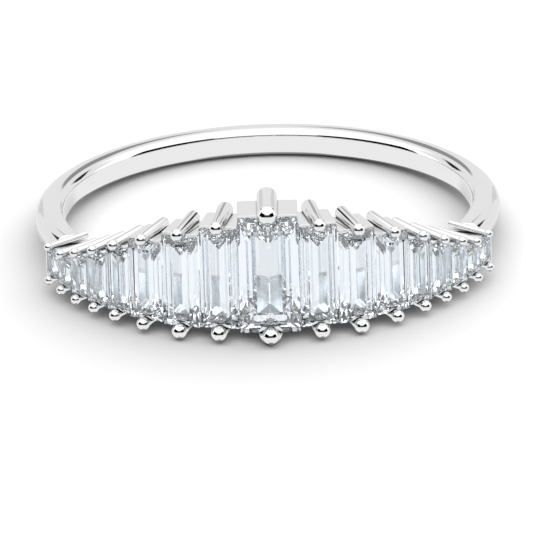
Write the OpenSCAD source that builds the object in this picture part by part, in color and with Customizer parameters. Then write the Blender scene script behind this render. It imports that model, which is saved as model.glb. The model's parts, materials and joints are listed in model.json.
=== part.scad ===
// Diamond ring of baguette stones that rise to a taller centre stone, lying on its side as it rests.
// The ring is drawn around its finger hole, axis along Z and stones towards -Y, and then laid down.

/* [Finger] */
// Radius of the finger hole
finger_r = 8.6; // [7.4:0.05:10.2]

/* [Shank] */
// Thickness of the shank across its wall
shank_thick = 1.22; // [1.0:0.02:1.6]
// Width of the shank along the finger
shank_wide = 1.24; // [1.16:0.02:1.4]
// Radius of the shank's outer edges
shank_round = 0.55; // [0.2:0.01:0.56]
// Bevel along the inner edges of the shank
shank_bevel = 0.15; // [0.08:0.01:0.2]

/* [Stones] */
// Distance from the finger hole's wall out to the girdles of the side stones
side_reach = 1.7; // [1.65:0.01:1.9]
// Distance from the finger hole's wall out to the girdle of the centre stone
centre_reach = 1.9; // [1.85:0.01:2.1]
// Gap between two neighbouring stones
stone_gap = 0.06; // [0.04:0.01:0.1]
// Gap between a stone and the metal that holds it
seat_gap = 0.02; // [0.01:0.005:0.04]

/* [Basket] */
// Thickness of the wall behind the stones
wall_thick = 0.4; // [0.3:0.05:0.5]
// Thickness of the band that runs through that wall
band_thick = 0.47; // [0.42:0.01:0.55]
// Thickness of the plates over the ends of the stones
plate_thick = 0.1; // [0.08:0.01:0.16]
// Depth of the bearings under the upper ends of the stones
bearing_depth = 0.35; // [0.2:0.05:0.5]
// Distance that the plates under the stones stay back from the girdles
plate_back = 0.35; // [0.3:0.01:0.45]

/* [Hidden] */
$fn = 48;

metal_colour = [0.86, 0.87, 0.88];
stone_colour = [0.82, 0.89, 0.95];

// Columns of the table of stones, one row for each stone from the centre to the shoulder
WIDTH = 0;      // along the row
TOP = 1;        // height of the upper end over the band's middle plane
BOTTOM = 2;     // height of the lower end
ROOT = 3;       // radius of the wire over the stone, at the finger
WIRE = 4;       // radius of that wire at its tip
TIP = 5;        // radius of the round tip over the stone
UNDER = 6;      // radius of the wire under the stone
UNDER_TIP = 7;  // radius of the round tip under the stone
STONES = [
    [2.50, 3.53, -1.49, 0.43, 0.42, 0.43, 0.49, 0.36],
    [1.60, 2.96, -1.40, 0.34, 0.27, 0.30, 0.37, 0.33],
    [1.60, 2.54, -1.42, 0.29, 0.24, 0.285, 0.35, 0.32],
    [1.55, 2.11, -1.33, 0.25, 0.215, 0.265, 0.31, 0.28],
    [1.15, 1.60, -1.23, 0.21, 0.20, 0.24, 0.28, 0.25],
    [1.08, 1.12, -1.16, 0.19, 0.185, 0.22, 0.25, 0.225],
    [1.00, 0.72, -1.08, 0.18, 0.18, 0.215, 0.24, 0.215],
    [0.93, 0.37, -0.95, 0.175, 0.175, 0.205, 0.23, 0.205],
    [0.90, 0.39, -0.81, 0.14, 0.14, 0.195, 0.22, 0.195],
];
LAST = len(STONES) - 1;

// Steps of the cut, as shares of the stone's width: distance in from the outline and height over the girdle
GIRDLE = 0.04;
CROWN = [[0, GIRDLE / 2], [0.165, 0.14], [0.218, 0.165]];
PAVILION = [[0, -GIRDLE / 2], [0.14, -0.19], [0.29, -0.31], [0.49, -0.385]];
end_share = 1.15;    // the end facets reach further in than the long ones
top_past = 0.15;     // distance of a round tip past the upper end of its stone
bottom_past = 0.12;  // the same past the lower end
centre_top_past = 0.28;     // both distances for the centre stone
centre_bottom_past = 0.01;
wire_inset = 0.06;   // distance of the wires' round ends from the finger hole
wire_rise = 0.28;    // height of an upper wire's inner end over the stone
collar_rise = 0.18;  // what the last upper wire rises further towards the finger
tip_clear = 0.01;    // what the round tips stay further off the stones than the wires
under_rise = 0.5;    // rise of a lower wire towards the finger, as a share of its radius
under_reach = 0.1;   // distance that the lower wires run out past the girdles
bearing_lip = 0.1;   // flat behind the girdle before an upper bearing slopes away
wall_overlap = 0.1;  // extra width that joins the wall of each stone to its neighbours
window_share = 0.6;  // width of a window behind a stone, as a share of the stone
window_rim = 0.3;    // metal left between a window and the end of its stone
window_least = 0.3;  // windows lower than this are left out
end_wall = 0.16;     // thickness of the wall at each end of the row
end_join = 0.6;      // how far into that wall the shank starts, as a share of its thickness
band_inset = 0.03;   // distance of the band's edges from those of the shank's inner face
band_overlap = 1;    // degrees by which the band runs into the shank at each end
relief = 0.03;       // distance of the wall and wires from the finger hole; the band alone touches the finger
cut_reach = 0.2;     // distance that the metal starts inside the finger hole, which trims it
hole_long = 20;      // length of the cylinder that bores the finger hole
ring_fn = 180;       // facets of the large round faces

outer_r = finger_r + shank_thick;
half_wide = shank_wide / 2;
half_band = half_wide - shank_bevel - band_inset;
cut_r = finger_r - cut_reach;
relief_r = finger_r + relief;
back_r = finger_r + wall_thick;  // outer face of the wall behind the stones

function width(k) = STONES[k][WIDTH];
function girdle_r(k) = finger_r + (k == 0 ? centre_reach : side_reach);

// Distance between the middles of a stone and the one before it, and the angle that it takes up
function pitch(k) = (width(k - 1) + width(k)) / 2 + stone_gap;
function pitch_turn(k) = pitch(k) / ((girdle_r(k - 1) + girdle_r(k)) / 2) * 180 / PI;

// Angle from the front of the ring to a stone, which follows from the stones before it
function turn(k) = k == 0 ? 0 : turn(k - 1) + pitch_turn(k);

// Distances of the round tips past the ends of a stone
function past_top(k) = k == 0 ? centre_top_past : top_past;
function past_bottom(k) = k == 0 ? centre_bottom_past : bottom_past;

// Slope of the crown over the end of a stone
crown_angle = atan((CROWN[1][1] - CROWN[0][1]) / (CROWN[1][0] * end_share));

// Distance of the girdle's outer edge from the finger axis
function edge_r(k) = girdle_r(k) + GIRDLE / 2 * width(k);

// Distance from the finger axis that keeps clear of that slope, at a height past the end of the stone
function clear_r(k, clear, past) = edge_r(k) + (clear - past * sin(crown_angle)) / cos(crown_angle);

// Distance of the middle of a round tip from the finger axis
function tip_r(k, size, past) = clear_r(k, size + seat_gap + tip_clear, past);

// Angle at which the shank meets the end of the row, inside the wall there
row_half = width(LAST) / 2 + seat_gap + end_wall * end_join;
shoulder_turn = turn(LAST) + atan(row_half / (finger_r + shank_thick / 2));

// The ring lies on the wire under the centre stone and on the back of the shank
front_rest_r = STONES[0][UNDER];
front_rest_y = girdle_r(0) + under_reach;
front_rest_z = STONES[0][BOTTOM];
back_rest_y = outer_r - shank_round;
back_rest_z = -(half_wide - shank_round);
rest_span = front_rest_y + back_rest_y;
rest_drop = front_rest_z - back_rest_z;
rest_pitch = asin((front_rest_r - shank_round) / norm([rest_span, rest_drop])) - atan2(rest_drop, rest_span);
rest_lift = back_rest_y * sin(rest_pitch) - back_rest_z * cos(rest_pitch) + shank_round;

// Its outline along Y runs from the round tip under that stone to the back of the shank
front_ball = STONES[0][UNDER_TIP];
front_tip_y = tip_r(0, front_ball, centre_bottom_past);
front_tip_z = STONES[0][BOTTOM] - centre_bottom_past;
front_y = -front_tip_y * cos(rest_pitch) + front_tip_z * sin(rest_pitch) - front_ball;
back_y = back_rest_y * cos(rest_pitch) - back_rest_z * sin(rest_pitch) + shank_round;
centre_shift = -(front_y + back_y) / 2;

// Lays the ring down, centred over the origin and standing on Z = 0
module at_rest() {
    translate([0, centre_shift, rest_lift]) rotate([-rest_pitch, 0, 0]) children();
}

// Turns the frame of a stone to its place: its X runs along the row, Y points to the finger, Z up
module at_stone(k, side) {
    rotate([0, 0, side * turn(k)]) children();
}

// A round wire drawn in the plane of its stone, from one radius to another, with a ball at its outer end
module wire(from_y, from_z, from_size, to_y, to_z, to_size, ball) {
    run = to_y - from_y;
    rise = to_z - from_z;
    long = norm([run, rise]);
    slope = atan2(rise, run);
    translate([0, -from_y, from_z]) rotate([90 - slope, 0, 0]) rotate_extrude() intersection() {
        union() {
            polygon([[0, 0], [from_size, 0], [to_size, long], [0, long]]);
            circle(r = from_size);
            translate([0, long]) circle(r = ball);
        }
        translate([0, -from_size]) square([from_size + ball, from_size + long + ball]);
    }
}

// Cuts a wire past the end of a stone, which is at Z = 0, clear of that stone
module notched(k) {
    deep = STONES[0][WIDTH];
    cut = [
        [cut_r, seat_gap],
        [clear_r(k, seat_gap, seat_gap), seat_gap],
        [clear_r(k, seat_gap, -deep), -deep],
        [cut_r, -deep],
    ];
    difference() {
        children();
        across(deep) polygon(cut);
    }
}

// Wire over a stone, whose ball holds the stone's upper end
module upper_prong(k) {
    tip = STONES[k][TIP];
    past = past_top(k);
    root = STONES[k][ROOT];
    root_y = finger_r + wire_inset + root;
    root_z = wire_rise + (k == LAST ? collar_rise : 0);
    translate([0, 0, STONES[k][TOP]]) notched(k)
        wire(root_y, root_z, root, tip_r(k, tip, past), past, STONES[k][WIRE], tip);
}

// Wire under a stone, with the smaller round tip on its front that holds the lower end
module lower_prong(k) {
    tip = STONES[k][UNDER_TIP];
    past = past_bottom(k);
    wire_r = STONES[k][UNDER];
    root_y = finger_r + wire_inset + wire_r;
    translate([0, 0, STONES[k][BOTTOM]]) rotate([0, 180, 0]) {
        notched(k) wire(root_y, -under_rise * wire_r, wire_r, girdle_r(k) + under_reach, 0, wire_r, wire_r);
        translate([0, -tip_r(k, tip, past), past]) rotate([90, 0, 0]) sphere(r = tip);
    }
}

// Spreads an outline of distances from the finger axis and heights over a width along the row
module across(wide) {
    translate([wide / 2, 0, 0]) rotate([90, 0, -90]) linear_extrude(height = wide) children();
}

// Plate over the upper end of a stone, thickened behind it into the bearing for its pavilion
module upper_bearing(k) {
    end = STONES[k][TOP];
    outline = [
        [cut_r, end + seat_gap + plate_thick],
        [girdle_r(k), end + seat_gap + plate_thick],
        [girdle_r(k), end + seat_gap],
        [girdle_r(k) - bearing_lip, end + seat_gap],
        [cut_r, end - bearing_depth],
    ];
    across(width(k)) polygon(outline);
}

// Plate under the lower end of a stone, with the sloping seat that closes the wall behind it up to the band
module lower_bearing(k) {
    end = STONES[k][BOTTOM];
    front = girdle_r(k) - plate_back;
    outline = [
        [cut_r, end - seat_gap - plate_thick],
        [front, end - seat_gap - plate_thick],
        [front, end - seat_gap],
        [back_r, half_band],
        [cut_r, half_band],
    ];
    across(width(k)) polygon(outline);
}

// Wall between a stone and the finger, from one end of the stone to the other
module back_wall(k) {
    low = STONES[k][BOTTOM] - seat_gap - plate_thick;
    high = STONES[k][TOP] + seat_gap + plate_thick;
    wide = width(k) * back_r / girdle_r(k) + wall_overlap;
    translate([-wide / 2, -back_r, low]) cube([wide, back_r - cut_r, high - low]);
}

// Opening in that wall, over the band that runs through it
module window(k) {
    wide = window_share * width(k);
    high = STONES[k][TOP] - window_rim - half_band;
    if (high > window_least)
        translate([-wide / 2, -back_r - cut_reach, half_band]) cube([wide, back_r - cut_r + 2 * cut_reach, high]);
}

// Wall that closes the row against the shank
module row_end(side) {
    inner = width(LAST) / 2 + seat_gap;
    low = STONES[LAST][BOTTOM] - seat_gap - plate_thick;
    high = STONES[LAST][TOP] + seat_gap + plate_thick;
    translate([side > 0 ? inner : -inner - end_wall, -girdle_r(LAST), low])
        cube([end_wall, girdle_r(LAST) - cut_r, high - low]);
}

// Section of the shank, with round outer edges and bevelled inner ones
module shank_section() {
    bevel_r = finger_r + shank_bevel;
    corner_r = outer_r - shank_round;
    cut_z = half_wide - (bevel_r - cut_r);
    polygon([[cut_r, cut_z], [bevel_r, half_wide], [bevel_r, -half_wide], [cut_r, -cut_z]]);
    translate([bevel_r, -half_wide]) square([corner_r - bevel_r, shank_wide]);
    translate([corner_r, -half_wide + shank_round]) square([shank_round, shank_wide - 2 * shank_round]);
    for (end = [-1, 1])
        translate([corner_r, end * (half_wide - shank_round)]) circle(r = shank_round);
}

module shank() {
    rotate([0, 0, shoulder_turn - 90])
        rotate_extrude(angle = 360 - 2 * shoulder_turn, $fn = ring_fn) shank_section();
}

// Band that carries the line of the shank on behind the stones
module inner_band() {
    half_turn = shoulder_turn + band_overlap;
    rotate([0, 0, -90 - half_turn]) rotate_extrude(angle = 2 * half_turn, $fn = ring_fn)
        translate([cut_r, -half_band]) square([band_thick + cut_reach, 2 * half_band]);
}

// Bores out all that is inside a radius
module bored(r) {
    difference() {
        union() children();
        cylinder(r = r, h = hole_long, center = true, $fn = ring_fn);
    }
}

// Wall, bearings and prongs of one stone
module basket(k) {
    difference() {
        back_wall(k);
        window(k);
    }
    upper_bearing(k);
    lower_bearing(k);
    upper_prong(k);
    lower_prong(k);
}

// All that is soldered together: shank and band, and the basket of every stone
module ring_mount() {
    color(metal_colour) at_rest() {
        bored(finger_r) {
            shank();
            inner_band();
        }
        bored(relief_r) {
            for (k = [0 : LAST], side = k == 0 ? [1] : [-1, 1]) at_stone(k, side) basket(k);
            for (side = [-1, 1]) at_stone(LAST, side) row_end(side);
        }
    }
}

// Four corners of one step of the cut, in the stone's own plane
function step_corners(wide, long, step) =
    let (x = wide / 2 - step[0] * wide, z = long / 2 - step[0] * wide * end_share, out = step[1] * wide)
    [[-x, -out, -z], [x, -out, -z], [x, -out, z], [-x, -out, z]];

// A step-cut stone: rectangular table, two steps of crown, girdle, and three steps down to a keel
module baguette(wide, long) {
    steps = concat([for (i = [len(CROWN) - 1 : -1 : 0]) CROWN[i]], PAVILION);
    points = [for (step = steps) each step_corners(wide, long, step)];
    rows = len(steps);
    sides = [for (row = [0 : rows - 2], i = [0 : 3])
        [4 * row + i, 4 * row + (i + 1) % 4, 4 * row + 4 + (i + 1) % 4, 4 * row + 4 + i]];
    keel = 4 * (rows - 1);
    polyhedron(points, concat([[3, 2, 1, 0]], sides, [[keel, keel + 1, keel + 2, keel + 3]]));
}

module stone(k, side) {
    top = STONES[k][TOP];
    bottom = STONES[k][BOTTOM];
    color(stone_colour) at_rest() at_stone(k, side)
        translate([0, -girdle_r(k), (top + bottom) / 2]) baguette(width(k), top - bottom);
}

module centre_stone() {
    stone(0, 1);
}

ring_mount();
centre_stone();
for (k = [1 : LAST]) stone(k, -1);
for (k = [1 : LAST]) stone(k, 1);
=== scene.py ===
"""Looks of the baguette diamond ring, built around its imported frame.

The metal is modelled in the ring's own frame, in millimetres, with the finger axis along Z and the centre
stone towards -Y. TO_ROW then lays it down in the row's frame, in metres.
"""

import json
from math import atan2, ceil, cos, pi, radians, sin, tan

import bmesh
import bpy
from mathutils import Matrix, Vector


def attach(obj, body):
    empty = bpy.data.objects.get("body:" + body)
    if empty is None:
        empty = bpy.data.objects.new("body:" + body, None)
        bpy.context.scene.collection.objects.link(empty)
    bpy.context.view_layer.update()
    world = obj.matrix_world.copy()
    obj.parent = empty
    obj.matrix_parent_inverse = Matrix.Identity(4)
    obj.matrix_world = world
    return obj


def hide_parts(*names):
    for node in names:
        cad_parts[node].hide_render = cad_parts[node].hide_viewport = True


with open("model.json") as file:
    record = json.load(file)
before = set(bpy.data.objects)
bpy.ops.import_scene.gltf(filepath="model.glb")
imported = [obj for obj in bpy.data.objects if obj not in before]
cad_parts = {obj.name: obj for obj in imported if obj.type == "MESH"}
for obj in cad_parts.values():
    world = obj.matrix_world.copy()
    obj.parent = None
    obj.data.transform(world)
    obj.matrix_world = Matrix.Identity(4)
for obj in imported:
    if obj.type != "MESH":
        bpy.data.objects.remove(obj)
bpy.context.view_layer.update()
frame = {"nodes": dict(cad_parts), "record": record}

MM = 0.001

# The finger hole gives the ring's own frame
bore = next(m for m in frame["record"]["mounts"] if m["name"] == "finger_bore")
FINGER_R = bore["dims"]["r_mm"]
RING_CENTRE = Vector(bore["pos_m"])
LEAN = Vector((0, 0, 1)).rotation_difference(Vector(bore["axis"])).to_matrix().to_4x4()
TO_ROW = Matrix.Translation(RING_CENTRE) @ LEAN @ Matrix.Scale(MM, 4)

# Shank, in millimetres
OUTER_R = 9.82
SHANK_HALF_WIDE = 0.62
SHANK_ROUND = 0.55       # rounding between the top and the outside
SHANK_BEVEL = 0.15       # bevel between the inner wall and the top
BEVEL_SOFT = 0.14        # rounding over the bevel
WALL_SOFT = 0.25         # rounding under it
TOP_TILT = radians(16)   # how far the top leans in at the bevel, worn round by polishing
CROWN_SHARE = 0.8        # share of that tilt at which the points of the crowned top begin
SHOULDER_MIDDLE = 0.6    # distance from the finger hole at which the shank ends inside the end walls
SHANK_STEP = radians(1.2)
WALL_SOFT_STEPS = 8
BEVEL_SOFT_STEPS = 4
CROWN_STEPS = 8
ROUND_STEPS = 20

# Radii of the wires and round tips, in millimetres as in the part, from the centre stone to the shoulder
ROOT_R = (0.43, 0.34, 0.29, 0.25, 0.21, 0.19, 0.18, 0.175, 0.14)  # upper wires at the finger hole
WIRE_R = (0.42, 0.27, 0.24, 0.215, 0.20, 0.185, 0.18, 0.175, 0.14)  # the same wires at their tips
TIP_R = (0.43, 0.30, 0.285, 0.265, 0.24, 0.22, 0.215, 0.205, 0.195)
UNDER_R = (0.49, 0.37, 0.35, 0.31, 0.28, 0.25, 0.24, 0.23, 0.22)  # lower wires
UNDER_TIP_R = (0.36, 0.33, 0.32, 0.28, 0.25, 0.225, 0.215, 0.205, 0.195)

# Prongs, in millimetres
WIRE_START = 0.1           # distance from the finger hole to the centre of an upper wire's round end
WIRE_TRIM = 0.03           # distance from the finger hole at which all wires are cut off
WIRE_RISE = 0.28           # height of an upper wire's round end over the stone
COLLAR_RISE = 0.08         # how much higher it is at the shoulders
WIRE_INSET = 0.06          # distance from the finger hole to a lower wire's round end
UNDER_RISE = 0.5           # rise of a lower wire towards the finger hole, as a share of its radius
UNDER_REACH = 0.1          # how far the middle of its other round end lies past the girdle
TOP_PAST = 0.15            # how far the middle of an upper tip lies past the end of its stone
BOTTOM_PAST = 0.12         # the same for a lower tip
CENTRE_TOP_PAST = 0.28     # and for the two tips of the centre stone
CENTRE_BOTTOM_PAST = 0.01
TIP_CLEAR = 0.01           # gap between tip and stone, beyond SEAT_GAP

# Stones, whose end facets the prongs keep clear of
CROWN_ANGLE = radians(32.3)
GIRDLE_SHARE = 0.02        # half thickness of the girdle, as a share of the stone's width
GIRDLE_EDGE = 0.499        # share of the width beyond which a point belongs to the girdle

# Plates, seats and wall, in millimetres
SEAT_GAP = 0.02
PLATE_THICK = 0.1
PLATE_BACK = 0.35          # how far a lower plate stays behind the girdle
BEARING_DEPTH = 0.35       # how far the bearing under an upper plate reaches down at the finger hole
BEARING_LIP = 0.1          # how far it stays behind the girdle
WALL_THICK = 0.4
END_WALL = 0.16
HALF_BAND = 0.44           # half width of the band that carries the line of the shank on
WINDOW_SHARE = 0.6         # width of a window, as a share of its stone's
WINDOW_RIM = 0.3           # distance from a window up to the end of its stone
WINDOW_LEAST = 0.3         # height under which there is no window
SKIN = 0.02                # how far one piece lies under the surface of another
EDGE = 0.035               # rounding of the cast metal's edges
EDGE_STEPS = 3
EDGE_LEAST = radians(35)   # angle between faces from which their edge is rounded

# Division of the round surfaces
LATHE_SIDES = 48
CAP_STEPS = 12
WALL_STEP = radians(1.5)
CELL_OVERLAP = 0.0005      # radians by which a stone's part of the wall runs into the next part
TURN_LEAST = 0.002         # radians under which two turns count as one
HEIGHT_LEAST = 0.015       # millimetres under which two heights count as one
FLAT_ENOUGH = radians(0.4)  # angle between faces up to which they become one

# Camera, from the photograph
PHOTO_SIDE = 533
CAMERA_AWAY = 0.6          # metres
CAMERA_UP = radians(24.055)
CAMERA_ROUND = radians(0.22)
CAMERA_ROLL = radians(1.82)
CAMERA_CLIP = (0.01, 10)   # metres
PIXELS_PER_MM = 23.68
RING_CENTRE_PIXEL = (267.9, 211.94)
SENSOR = 36.0

# Metal and stones
GOLD_COLOUR = (0.87, 0.87, 0.868, 1)
# Painted light: the satin metal is lighter than the polished, to brighten the seats that lie in shade behind
# the stones
SATIN_LIGHTENED_COLOUR = (0.97, 0.97, 0.965, 1)
POLISHED_ROUGHNESS = (0.01, 0.03)
SATIN_ROUGHNESS = (0.24, 0.3)
FINISH_SCALE = 900
FINISH_DETAIL = 3
# Painted shade: the metal's colour darkens towards this where other metal or a stone lies near
CREVICE_SHADE_COLOUR = (0.16, 0.155, 0.15, 1)
CREVICE_REACH = 0.12       # millimetres within which other metal or a stone makes a crevice
CREVICE_DEEP = 0.45        # openness of the darkest crevices
CREVICE_OPEN = 0.8         # openness from which the metal is bright
CREVICE_SAMPLES = 8
GEM_COLOUR = (0.84, 0.90, 0.955, 1)
GEM_IOR = 2.42
GEM_PASS = 0.3             # share of the light that the stones let through to what they shade

# Floor
PAPER_COLOUR = (0.92, 0.92, 0.92, 1)
PAPER_ROUGHNESS = 0.9
PAPER_GLOSS = 0.1
FLOOR_REACH = 0.6          # metres from the middle to a side

# Key light: apparent width in degrees, strength and direction that it comes from
KEY_SPREAD = 128
KEY_STRENGTH = 3.3
KEY_FROM = (0.22, 0.08, 1.0)

# Tent around the ring
TENT = 1.25                # brightness where there is no card
SPARKLE = 0.95             # share of the brightness that is seen through the stones
LIFT = 0.15                # light added to it there, also where a card is black
FILL = 0.15                # share of the tent's light that falls on the floor

# Cards in the tent: middle and half width round from the camera's side, middle and half height over the
# horizon and soft edge, all in degrees, and brightness. The notes say what each card darkens.
CARDS = [
    (0, 180, -45, 45, 1, 0.95),  # inner wall and the broad facets, which see under the horizon
    (180, 30, -56, 22, 16, 0.2),  # dark outlines of the inner wall's lower edge and the lower tips
    (0, 180, -90, 14, 6, 0.3),  # undersides of the lower tips
    (180, 62, 10, 22, 12, 0.87),  # light grey of the plates, the upper wires and the top of the shank
    (138, 6, 24, 6, 2, 0.03),  # short dark marks on the shank and the wires, left and right
    (-138, 6, 24, 6, 2, 0.03),
    (175.5, 2.5, 24.5, 4, 1.5, 0.3),  # streaks along the top of the shank and the wires
    (-175.5, 2.5, 24.5, 4, 1.5, 0.3),
    (161, 3, 3, 8, 2, 0.7),  # sides of the centre wire
    (-161, 3, 3, 8, 2, 0.7),
    (0, 34, 12, 12, 3, 0.05),  # with the next two: line over the inner wall, spots on tips and stones
    (-62, 30, 14, 18, 2, 0.0),
    (56, 24, 14, 18, 2, 0.0),
]

BOUNCES = 24
GLOSSY_BOUNCES = 12


def stone_measures(name):
    """Turn, width, ends and girdle distance of a CAD stone, in the ring's own frame."""
    to_ring = TO_ROW.inverted()
    points = [to_ring @ v.co for v in frame["nodes"][name].data.vertices]
    middle = sum(points, Vector()) / len(points)
    turn = atan2(middle.x, -middle.y)
    turned = [Matrix.Rotation(-turn, 3, "Z") @ p for p in points]
    width = max(p.x for p in turned) - min(p.x for p in turned)
    widest = [-p.y for p in turned if abs(p.x) > GIRDLE_EDGE * width]
    return {
        "turn": turn,
        "width": width,
        "top": max(p.z for p in turned),
        "bottom": min(p.z for p in turned),
        "girdle": (min(widest) + max(widest)) / 2,
    }


STONES = [stone_measures("centre_stone")]
STONES += [stone_measures(f"stone_right_{k}") for k in range(1, len(TIP_R))]
LAST = len(STONES) - 1
PLACES = [(0, 1)] + [(k, side) for k in range(1, len(STONES)) for side in (-1, 1)]


def at_stone(k, side):
    """Frame of a stone: X along the row, -Y outward, Z up."""
    return Matrix.Rotation(side * STONES[k]["turn"], 4, "Z")


def white_gold(finish, colour, roughness, crevices):
    """White gold, with the faint unevenness that its finish leaves, and painted shade that darkens its
    crevices if so asked.
    """
    material = bpy.data.materials.new(finish + "_white_gold")
    material.use_nodes = True
    tree = material.node_tree
    shader = tree.nodes["Principled BSDF"]
    shader.inputs["Base Color"].default_value = colour
    shader.inputs["Metallic"].default_value = 1
    place = tree.nodes.new("ShaderNodeTexCoord")
    noise = tree.nodes.new("ShaderNodeTexNoise")
    noise.inputs["Scale"].default_value = FINISH_SCALE
    noise.inputs["Detail"].default_value = FINISH_DETAIL
    spread = tree.nodes.new("ShaderNodeMapRange")
    spread.inputs["To Min"].default_value = roughness[0]
    spread.inputs["To Max"].default_value = roughness[1]
    tree.links.new(place.outputs["Object"], noise.inputs["Vector"])
    tree.links.new(noise.outputs["Fac"], spread.inputs["Value"])
    tree.links.new(spread.outputs["Result"], shader.inputs["Roughness"])
    # Painted shade: ambient occlusion darkens the base colour in crevices, where shade falls
    if crevices:
        nearness = tree.nodes.new("ShaderNodeAmbientOcclusion")
        nearness.samples = CREVICE_SAMPLES
        nearness.inputs["Distance"].default_value = CREVICE_REACH * MM
        depth = tree.nodes.new("ShaderNodeMapRange")
        depth.inputs["From Min"].default_value = CREVICE_DEEP
        depth.inputs["From Max"].default_value = CREVICE_OPEN
        tint = tree.nodes.new("ShaderNodeMix")
        tint.data_type = "RGBA"
        tint.inputs["A"].default_value = CREVICE_SHADE_COLOUR
        tint.inputs["B"].default_value = colour
        tree.links.new(nearness.outputs["AO"], depth.inputs["Value"])
        tree.links.new(depth.outputs["Result"], tint.inputs["Factor"])
        tree.links.new(tint.outputs["Result"], shader.inputs["Base Color"])
    return material


def diamond():
    """Clear stone with a cool tint, which lets part of the light through to what it shades."""
    material = bpy.data.materials.new("diamond")
    material.use_nodes = True
    tree = material.node_tree
    shader = tree.nodes["Principled BSDF"]
    shader.inputs["Base Color"].default_value = GEM_COLOUR
    shader.inputs["Transmission Weight"].default_value = 1
    shader.inputs["IOR"].default_value = GEM_IOR
    shader.inputs["Roughness"].default_value = 0
    light = tree.nodes.new("ShaderNodeLightPath")
    share = tree.nodes.new("ShaderNodeMath")
    share.operation = "MULTIPLY"
    share.inputs[1].default_value = GEM_PASS
    clear = tree.nodes.new("ShaderNodeBsdfTransparent")
    mix = tree.nodes.new("ShaderNodeMixShader")
    tree.links.new(light.outputs["Is Shadow Ray"], share.inputs[0])
    tree.links.new(share.outputs[0], mix.inputs["Fac"])
    tree.links.new(shader.outputs["BSDF"], mix.inputs[1])
    tree.links.new(clear.outputs["BSDF"], mix.inputs[2])
    tree.links.new(mix.outputs["Shader"], tree.nodes["Material Output"].inputs["Surface"])
    return material


METAL = white_gold("polished", GOLD_COLOUR, POLISHED_ROUGHNESS, crevices=True)
SATIN = white_gold("satin", SATIN_LIGHTENED_COLOUR, SATIN_ROUGHNESS, crevices=False)
GEM = diamond()


def add_metal(name, bm, edge=0.0, material=METAL):
    """Turns a bmesh in the ring's own frame into a piece of the mount."""
    bmesh.ops.recalc_face_normals(bm, faces=bm.faces)
    for face in bm.faces:
        face.smooth = True
    mesh = bpy.data.meshes.new(name)
    bm.to_mesh(mesh)
    bm.free()
    mesh.transform(TO_ROW)
    mesh.materials.append(material)
    piece = bpy.data.objects.new(name, mesh)
    bpy.context.scene.collection.objects.link(piece)
    if edge:
        bevel = piece.modifiers.new("rounded_edges", "BEVEL")
        bevel.width = edge * MM
        bevel.segments = EDGE_STEPS
        bevel.limit_method = "ANGLE"
        bevel.angle_limit = EDGE_LEAST
        bevel.harden_normals = True
    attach(piece, "root")
    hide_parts("ring_mount")
    return piece


def join(bm, part):
    """Moves all of one bmesh into another."""
    mesh = bpy.data.meshes.new("part")
    part.to_mesh(mesh)
    part.free()
    bm.from_mesh(mesh)
    bpy.data.meshes.remove(mesh)


def lathe(bm, start, direction, profile):
    """Surface turned about an axis, from pole to pole. profile holds distances along it with radii."""
    turn = Vector((0, 0, 1)).rotation_difference(direction).to_matrix()
    angles = [2 * pi * i / LATHE_SIDES for i in range(LATHE_SIDES)]
    rings = []
    for along, r in profile:
        around = angles if r > 0 else angles[:1]
        spots = [Vector((r * cos(angle), r * sin(angle), along)) for angle in around]
        rings.append([bm.verts.new(start + turn @ spot) for spot in spots])
    for ring, after in zip(rings, rings[1:]):
        for i in range(LATHE_SIDES):
            corners = [ring[i % len(ring)], ring[(i + 1) % len(ring)]]
            corners += [after[(i + 1) % len(after)], after[i % len(after)]]
            bm.faces.new(list(dict.fromkeys(corners)))


def cap(r):
    """Profile of a hemisphere, from its pole to its rim."""
    angles = [pi / 2 * i / CAP_STEPS for i in range(CAP_STEPS + 1)]
    return [(r - r * cos(angle), r * sin(angle)) for angle in angles]


def ball(bm, centre, r):
    """Whole sphere, with its poles along Y."""
    rise = cap(r)
    profile = rise + [(2 * r - along, size) for along, size in reversed(rise[:-1])]
    lathe(bm, centre + Vector((0, r, 0)), Vector((0, -1, 0)), profile)


def wire(bm, start, end, start_r, end_r):
    """Round wire with round ends, whose centres are start and end."""
    along = end - start
    head = [(a - start_r, size) for a, size in cap(start_r)]
    tail = [(along.length + end_r - a, size) for a, size in reversed(cap(end_r))]
    lathe(bm, start, along.normalized(), head + tail)


def cut_off(bm, place, normal):
    """Takes away what lies beyond a plane and closes the cut."""
    everything = bm.verts[:] + bm.edges[:] + bm.faces[:]
    cut = bmesh.ops.bisect_plane(bm, geom=everything, plane_co=place, plane_no=normal, clear_outer=True)
    rim = [thing for thing in cut["geom_cut"] if isinstance(thing, bmesh.types.BMEdge)]
    bmesh.ops.edgeloop_fill(bm, edges=rim)


def clear_r(k, clear, past):
    """Distance from the finger axis that keeps clear of a stone's end facet, at a height past its end."""
    edge = STONES[k]["girdle"] + GIRDLE_SHARE * STONES[k]["width"]
    return edge + (clear - past * sin(CROWN_ANGLE)) / cos(CROWN_ANGLE)


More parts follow.
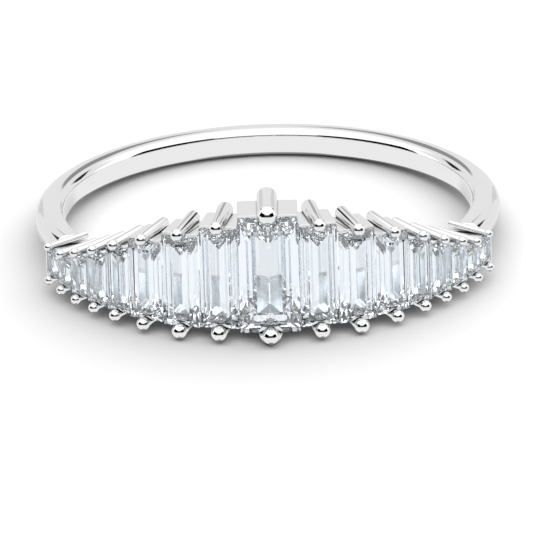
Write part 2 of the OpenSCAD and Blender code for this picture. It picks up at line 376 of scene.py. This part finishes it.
def prong(k, away):
    """Wire past an end of a stone, cut away for it, and its round tip. away is 1 over it, -1 under it."""
    stone = STONES[k]
    if away > 0:
        end, past = stone["top"], CENTRE_TOP_PAST if k == 0 else TOP_PAST
        tip_r, start_r, end_r = TIP_R[k], ROOT_R[k], WIRE_R[k]
        tip = Vector((0, -clear_r(k, tip_r + SEAT_GAP + TIP_CLEAR, past), past))
        start = Vector((0, -FINGER_R - WIRE_START, WIRE_RISE + (COLLAR_RISE if k == LAST else 0)))
        stop = tip
    else:
        end, past = stone["bottom"], CENTRE_BOTTOM_PAST if k == 0 else BOTTOM_PAST
        tip_r, start_r, end_r = UNDER_TIP_R[k], UNDER_R[k], UNDER_R[k]
        tip = Vector((0, -clear_r(k, tip_r + SEAT_GAP + TIP_CLEAR, past), past))
        start = Vector((0, -FINGER_R - WIRE_INSET - start_r, -UNDER_RISE * start_r))
        stop = Vector((0, -stone["girdle"] - UNDER_REACH, 0))
    deep = stone["width"]
    low = Vector((0, -clear_r(k, SEAT_GAP, SEAT_GAP), SEAT_GAP))
    high = Vector((0, -clear_r(k, SEAT_GAP, -deep), -deep))
    bm = bmesh.new()
    wire(bm, start, stop, start_r, end_r)
    cut_off(bm, low, Vector((0, 0, -1)))
    cut_off(bm, Vector((0, -FINGER_R - WIRE_TRIM, 0)), Vector((0, 1, 0)))
    front = bmesh.new()
    wire(front, start, stop, start_r, end_r)
    cut_off(front, low, Vector((0, 0, 1)))
    cut_off(front, low, (high - low).cross(Vector((1, 0, 0))))
    join(bm, front)
    ball(bm, tip, tip_r)
    to_end = Matrix.Translation((0, 0, end)) @ Matrix.Scale(away, 4, (0, 0, 1))
    bmesh.ops.transform(bm, matrix=to_end, verts=bm.verts)
    return bm


def prongs():
    """Wires over and under the stones, and the round tips that hold the stones' ends."""
    bm = bmesh.new()
    for k, side in PLACES:
        for away in (1, -1):
            part = prong(k, away)
            bmesh.ops.transform(part, matrix=at_stone(k, side), verts=part.verts)
            join(bm, part)
    return add_metal("prongs", bm)


def across(bm, k, side, outline):
    """Adds an outline of distances from the finger axis and heights, as wide as its stone."""
    part = bmesh.new()
    half = STONES[k]["width"] / 2
    rims = [[part.verts.new((x, -r, z)) for r, z in outline] for x in (-half, half)]
    count = len(outline)
    for i in range(count):
        j = (i + 1) % count
        part.faces.new((rims[0][i], rims[0][j], rims[1][j], rims[1][i]))
    for rim in rims:
        part.faces.new(rim)
    bmesh.ops.recalc_face_normals(part, faces=part.faces)
    bmesh.ops.transform(part, matrix=at_stone(k, side), verts=part.verts)
    join(bm, part)


def plates():
    """Plates over the upper ends of the stones, with the bearings behind them that carry the pavilions."""
    bm = bmesh.new()
    inner = FINGER_R + SKIN
    for k, side in PLACES:
        girdle, top = STONES[k]["girdle"], STONES[k]["top"]
        outline = [
            (inner, top + SEAT_GAP + PLATE_THICK),
            (girdle, top + SEAT_GAP + PLATE_THICK),
            (girdle, top + SEAT_GAP),
            (girdle - BEARING_LIP, top + SEAT_GAP),
            (inner, top - BEARING_DEPTH),
        ]
        across(bm, k, side, outline)
    return add_metal("plates", bm, EDGE)


def seats():
    """Satin slopes behind the stones, which run from the plates under them up to the band. Their metal is
    lighter than the polished metal, as painted light.
    """
    bm = bmesh.new()
    inner = FINGER_R + SKIN
    for k, side in PLACES:
        front, bottom = STONES[k]["girdle"] - PLATE_BACK, STONES[k]["bottom"]
        outline = [
            (inner, bottom - SEAT_GAP - PLATE_THICK),
            (front, bottom - SEAT_GAP - PLATE_THICK),
            (front, bottom - SEAT_GAP),
            (FINGER_R + WALL_THICK, HALF_BAND),
            (inner, HALF_BAND),
        ]
        across(bm, k, side, outline)
    return add_metal("seats", bm, EDGE, SATIN)


def breaks(values, least, widest=None):
    """Sorted values with near doubles taken out, and with wide spans divided."""
    kept = []
    for value in sorted(values):
        if not kept or value - kept[-1] > least:
            kept.append(value)
    if widest is None:
        return kept
    parts = []
    for low, high in zip(kept, kept[1:]):
        count = max(1, ceil((high - low) / widest))
        parts += [low + (high - low) * i / count for i in range(count)]
    return parts + kept[-1:]


def within(spans, turn, height):
    """Whether a turn and height lie in one of the spans, each of two turns and two heights."""
    return any(span[0] < turn < span[1] and span[2] < height < span[3] for span in spans)


def curved_wall(bm, solid, windows, inner_r, outer_r):
    """Wall between two radii, made of the cells between all turns and heights of its spans."""
    spans = solid + windows
    turns = breaks([t for span in spans for t in span[:2]], TURN_LEAST, WALL_STEP)
    heights = breaks([z for span in spans for z in span[2:]], HEIGHT_LEAST)
    filled = set()
    for i in range(len(turns) - 1):
        for j in range(len(heights) - 1):
            turn = (turns[i] + turns[i + 1]) / 2
            height = (heights[j] + heights[j + 1]) / 2
            if within(solid, turn, height) and not within(windows, turn, height):
                filled.add((i, j))
    verts = {}

    def vert(i, j, r):
        if (i, j, r) not in verts:
            verts[i, j, r] = bm.verts.new((r * sin(turns[i]), -r * cos(turns[i]), heights[j]))
        return verts[i, j, r]

    for i, j in filled:
        corners = [(i, j), (i + 1, j), (i + 1, j + 1), (i, j + 1)]
        for r in (inner_r, outer_r):
            bm.faces.new([vert(a, b, r) for a, b in corners])
        neighbours = [(i, j - 1), (i + 1, j), (i, j + 1), (i - 1, j)]
        for n, beside in enumerate(neighbours):
            if beside not in filled:
                a, b = corners[n], corners[(n + 1) % 4]
                bm.faces.new((vert(*a, inner_r), vert(*b, inner_r), vert(*b, outer_r), vert(*a, outer_r)))


def gallery():
    """Wall behind the row, open above the band that carries the line of the shank on."""
    solid, windows = [], []
    for k, side in PLACES:
        stone = STONES[k]
        middle = side * stone["turn"]
        low = stone["bottom"] - SEAT_GAP - PLATE_THICK + SKIN
        high = stone["top"] + SEAT_GAP + PLATE_THICK - SKIN
        if k < LAST:
            after = (STONES[k + 1]["turn"] - stone["turn"]) / 2
        else:
            after = (stone["width"] / 2 + END_WALL) / FINGER_R
        before = (stone["turn"] - STONES[k - 1]["turn"]) / 2 if k else after
        ends = sorted((middle - side * before, middle + side * after))
        solid.append((ends[0] - CELL_OVERLAP, ends[1] + CELL_OVERLAP, low, high))
        half = WINDOW_SHARE * stone["width"] / 2 / stone["girdle"]
        roof = stone["top"] - WINDOW_RIM
        if roof - HALF_BAND > WINDOW_LEAST:
            windows.append((middle - half, middle + half, HALF_BAND, roof))
    bm = bmesh.new()
    curved_wall(bm, solid, windows, FINGER_R, FINGER_R + WALL_THICK)
    bmesh.ops.dissolve_limit(bm, angle_limit=FLAT_ENOUGH, verts=bm.verts, edges=bm.edges)
    return add_metal("gallery", bm, EDGE)


def row_ends():
    """Walls that close the row against the shank."""
    bm = bmesh.new()
    stone = STONES[LAST]
    inner = stone["width"] / 2 + SEAT_GAP
    low = stone["bottom"] - SEAT_GAP - PLATE_THICK
    high = stone["top"] + SEAT_GAP + PLATE_THICK
    for side in (-1, 1):
        part = bmesh.new()
        bmesh.ops.create_cube(part, size=1)
        size = Vector((END_WALL, stone["girdle"] - FINGER_R, high - low))
        middle = Vector((side * (inner + END_WALL / 2), -(stone["girdle"] + FINGER_R) / 2, (high + low) / 2))
        place = at_stone(LAST, side) @ Matrix.LocRotScale(middle, None, size)
        bmesh.ops.transform(part, matrix=place, verts=part.verts)
        join(bm, part)
    return add_metal("row_ends", bm, EDGE)


def arc(centre_r, centre_z, r, start, end, steps):
    """Points of an arc in the shank's section, as pairs of radius and height."""
    angles = [start + (end - start) * i / steps for i in range(steps + 1)]
    return [(centre_r + r * cos(a), centre_z + r * sin(a)) for a in angles]


def shank_section():
    """Upper half of the section from the inner wall over the top to the outer wall, and its mirror image."""
    top = SHANK_HALF_WIDE
    bevel_r = FINGER_R + SHANK_BEVEL
    round_r = OUTER_R - SHANK_ROUND
    crown_r = (round_r - bevel_r) / sin(TOP_TILT)
    edge = top - crown_r * (1 - cos(TOP_TILT))
    wall_fall = WALL_SOFT * tan(pi / 8)
    edge_fall = BEVEL_SOFT * tan((pi / 4 - TOP_TILT) / 2)
    diagonal = sin(pi / 4)
    low_z = edge - SHANK_BEVEL - wall_fall
    low = arc(FINGER_R + WALL_SOFT, low_z, WALL_SOFT, pi, 3 * pi / 4, WALL_SOFT_STEPS)
    soft_r = bevel_r + (BEVEL_SOFT - edge_fall) * diagonal
    soft_z = edge - (BEVEL_SOFT + edge_fall) * diagonal
    high = arc(soft_r, soft_z, BEVEL_SOFT, 3 * pi / 4, pi / 2 + TOP_TILT, BEVEL_SOFT_STEPS)
    crown_start = pi / 2 + TOP_TILT * CROWN_SHARE
    crown = arc(round_r, top - crown_r, crown_r, crown_start, pi / 2, CROWN_STEPS)[:-1]
    outer = arc(round_r, top - SHANK_ROUND, SHANK_ROUND, pi / 2, 0, ROUND_STEPS)
    upper = [(FINGER_R, 0)] + low + high + crown + outer + [(OUTER_R, 0)]
    return upper + [(r, -z) for r, z in reversed(upper[1:-1])]


def shank():
    """Hoop from one end wall of the row round to the other."""
    bm = bmesh.new()
    past_stone = STONES[LAST]["width"] / 2 + SEAT_GAP + END_WALL / 2
    half_row = STONES[LAST]["turn"] + past_stone / (FINGER_R + SHOULDER_MIDDLE)
    steps = ceil((2 * pi - 2 * half_row) / SHANK_STEP)
    section = shank_section()
    rings = []
    for i in range(steps + 1):
        turn = half_row + (2 * pi - 2 * half_row) * i / steps
        rings.append([bm.verts.new((r * sin(turn), -r * cos(turn), z)) for r, z in section])
    for ring, after in zip(rings, rings[1:]):
        for i in range(len(section)):
            j = (i + 1) % len(section)
            bm.faces.new((ring[i], ring[j], after[j], after[i]))
    for ring in (rings[0], rings[-1]):
        bm.faces.new(ring)
    return add_metal("shank", bm)


def dress_stones():
    """Gives the CAD stones their material and keeps their facets flat."""
    for name, node in frame["nodes"].items():
        if name != "ring_mount":
            node.data.materials.clear()
            node.data.materials.append(GEM)
            for polygon in node.data.polygons:
                polygon.use_smooth = False


def look_at(place, target, roll=0.0):
    """Matrix of a camera or light at a place, looking at a target."""
    turn = (target - place).to_track_quat("-Z", "Y").to_matrix().to_4x4()
    return Matrix.Translation(place) @ turn @ Matrix.Rotation(roll, 4, "Z")


def camera():
    """Sees the ring as the photograph does."""
    data = bpy.data.cameras.new("camera")
    data.sensor_width = SENSOR
    data.lens = SENSOR * PIXELS_PER_MM * CAMERA_AWAY / MM / PHOTO_SIDE
    data.clip_start, data.clip_end = CAMERA_CLIP
    level = cos(CAMERA_UP)
    eye = Vector((sin(CAMERA_ROUND) * level, -cos(CAMERA_ROUND) * level, sin(CAMERA_UP)))
    view = look_at(RING_CENTRE + eye * CAMERA_AWAY, RING_CENTRE, -CAMERA_ROLL)
    aside = (RING_CENTRE_PIXEL[0] - PHOTO_SIDE / 2) / PIXELS_PER_MM * MM
    down = (RING_CENTRE_PIXEL[1] - PHOTO_SIDE / 2) / PIXELS_PER_MM * MM
    right, up = view.col[0].xyz, view.col[1].xyz
    thing = bpy.data.objects.new("camera", data)
    thing.matrix_world = Matrix.Translation(-right * aside + up * down) @ view
    bpy.context.scene.collection.objects.link(thing)
    bpy.context.scene.camera = thing


def floor():
    """Sheet of white paper, which the metal and the stones don't mirror."""
    bm = bmesh.new()
    bmesh.ops.create_grid(bm, x_segments=1, y_segments=1, size=FLOOR_REACH)
    mesh = bpy.data.meshes.new("floor")
    bm.to_mesh(mesh)
    bm.free()
    material = bpy.data.materials.new("white_paper")
    material.use_nodes = True
    shader = material.node_tree.nodes["Principled BSDF"]
    shader.inputs["Base Color"].default_value = PAPER_COLOUR
    shader.inputs["Roughness"].default_value = PAPER_ROUGHNESS
    shader.inputs["Specular IOR Level"].default_value = PAPER_GLOSS
    mesh.materials.append(material)
    thing = bpy.data.objects.new("floor", mesh)
    bpy.context.scene.collection.objects.link(thing)
    thing.visible_glossy = False
    thing.visible_transmission = False


def studio():
    """A white tent with grey and black cards, which give the metal and the stones their accents."""
    world = bpy.data.worlds.new("studio")
    bpy.context.scene.world = world
    world.use_nodes = True
    tree = world.node_tree
    nodes, links = tree.nodes, tree.links
    background = nodes["Background"]
    place = nodes.new("ShaderNodeTexCoord")
    split = nodes.new("ShaderNodeSeparateXYZ")
    links.new(place.outputs["Generated"], split.inputs[0])

    def calc(operation, *values):
        node = nodes.new("ShaderNodeMath")
        node.operation = operation
        for socket, value in zip(node.inputs, values):
            if isinstance(value, (int, float)):
                socket.default_value = value
            else:
                links.new(value, socket)
        return node.outputs[0]

    def inside(away, half, edge):
        """One up to the half width, falling to nought over the edge."""
        node = nodes.new("ShaderNodeMapRange")
        node.interpolation_type = "SMOOTHSTEP"
        node.inputs["From Min"].default_value = radians(half + edge)
        node.inputs["From Max"].default_value = radians(half)
        links.new(away, node.inputs["Value"])
        return node.outputs["Result"]

    round_angle = calc("ARCTAN2", split.outputs["X"], calc("MULTIPLY", split.outputs["Y"], -1))
    height = calc("ARCSINE", split.outputs["Z"])
    shade = TENT
    for middle, half, up, half_up, edge, level in CARDS:
        beside = calc("PINGPONG", calc("SUBTRACT", round_angle, radians(middle)), pi)
        above = calc("ABSOLUTE", calc("SUBTRACT", height, radians(up)))
        mask = calc("MULTIPLY", inside(beside, half, edge), inside(above, half_up, edge))
        shade = calc("ADD", shade, calc("MULTIPLY", mask, calc("SUBTRACT", level, shade)))
    light = nodes.new("ShaderNodeLightPath")
    sparkle = calc("ADD", 1, calc("MULTIPLY", light.outputs["Is Transmission Ray"], SPARKLE - 1))
    lift = calc("MULTIPLY", light.outputs["Is Transmission Ray"], LIFT)
    seen = calc("ADD", calc("MULTIPLY", shade, sparkle), lift)
    on_floor = calc("MINIMUM", light.outputs["Diffuse Depth"], 1)
    fill = calc("MULTIPLY", shade, FILL)
    strength = calc("ADD", seen, calc("MULTIPLY", on_floor, calc("SUBTRACT", fill, seen)))
    links.new(strength, background.inputs["Strength"])
    background.inputs["Color"].default_value = (1, 1, 1, 1)


def key_light():
    """Wide soft light from above, which the metal doesn't mirror."""
    data = bpy.data.lights.new("key", "SUN")
    data.angle = radians(KEY_SPREAD)
    data.energy = KEY_STRENGTH
    thing = bpy.data.objects.new("key", data)
    thing.matrix_world = look_at(Vector(KEY_FROM), Vector((0, 0, 0)))
    thing.visible_glossy = False
    bpy.context.scene.collection.objects.link(thing)


camera()
floor()
studio()
key_light()
shank()
gallery()
plates()
seats()
row_ends()
prongs()
dress_stones()

view = bpy.context.scene.view_settings
view.view_transform = "Standard"
view.look = "None"
light_paths = bpy.context.scene.cycles
light_paths.max_bounces = BOUNCES
light_paths.transmission_bounces = BOUNCES
light_paths.glossy_bounces = GLOSSY_BOUNCES
